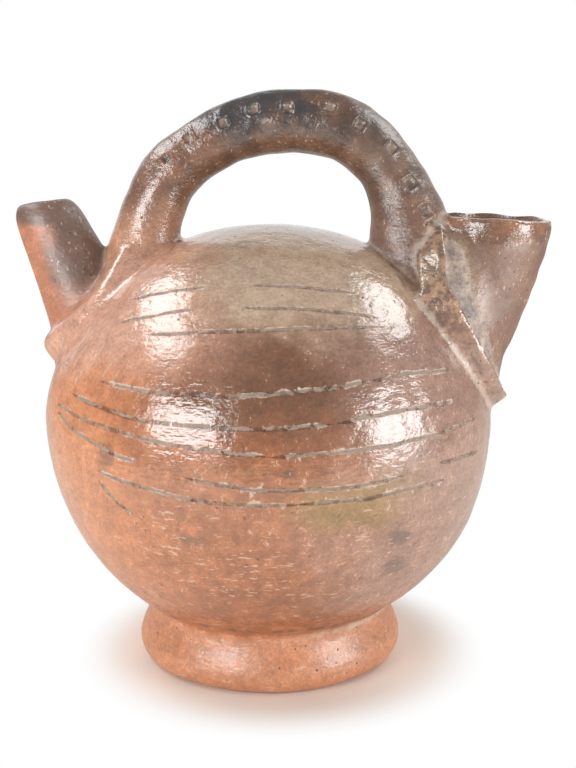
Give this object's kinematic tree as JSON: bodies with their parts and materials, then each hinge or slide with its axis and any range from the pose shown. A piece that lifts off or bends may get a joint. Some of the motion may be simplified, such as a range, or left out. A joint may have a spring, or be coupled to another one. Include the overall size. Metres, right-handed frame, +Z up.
{
  "type": "pottery pitcher",
  "caption": "Globular burnished earthenware jug on a ring foot, with a basket handle, a wide filling funnel and a narrow drinking spout.",
  "frame": {"origin": "on the table under the middle of the overall width; the axis of the belly and foot stands 5.15 mm from it, at -X", "axes": "+Z up, +X towards the funnel, -Y the front; the handle and both spouts stand in the XZ plane"},
  "size_m": [0.2503, 0.21, 0.2696],
  "materials": {
    "fired_clay": "burnished"
  },
  "bodies": {
    "root": {"pitcher": "fired_clay"}
  },
  "joints": []
}
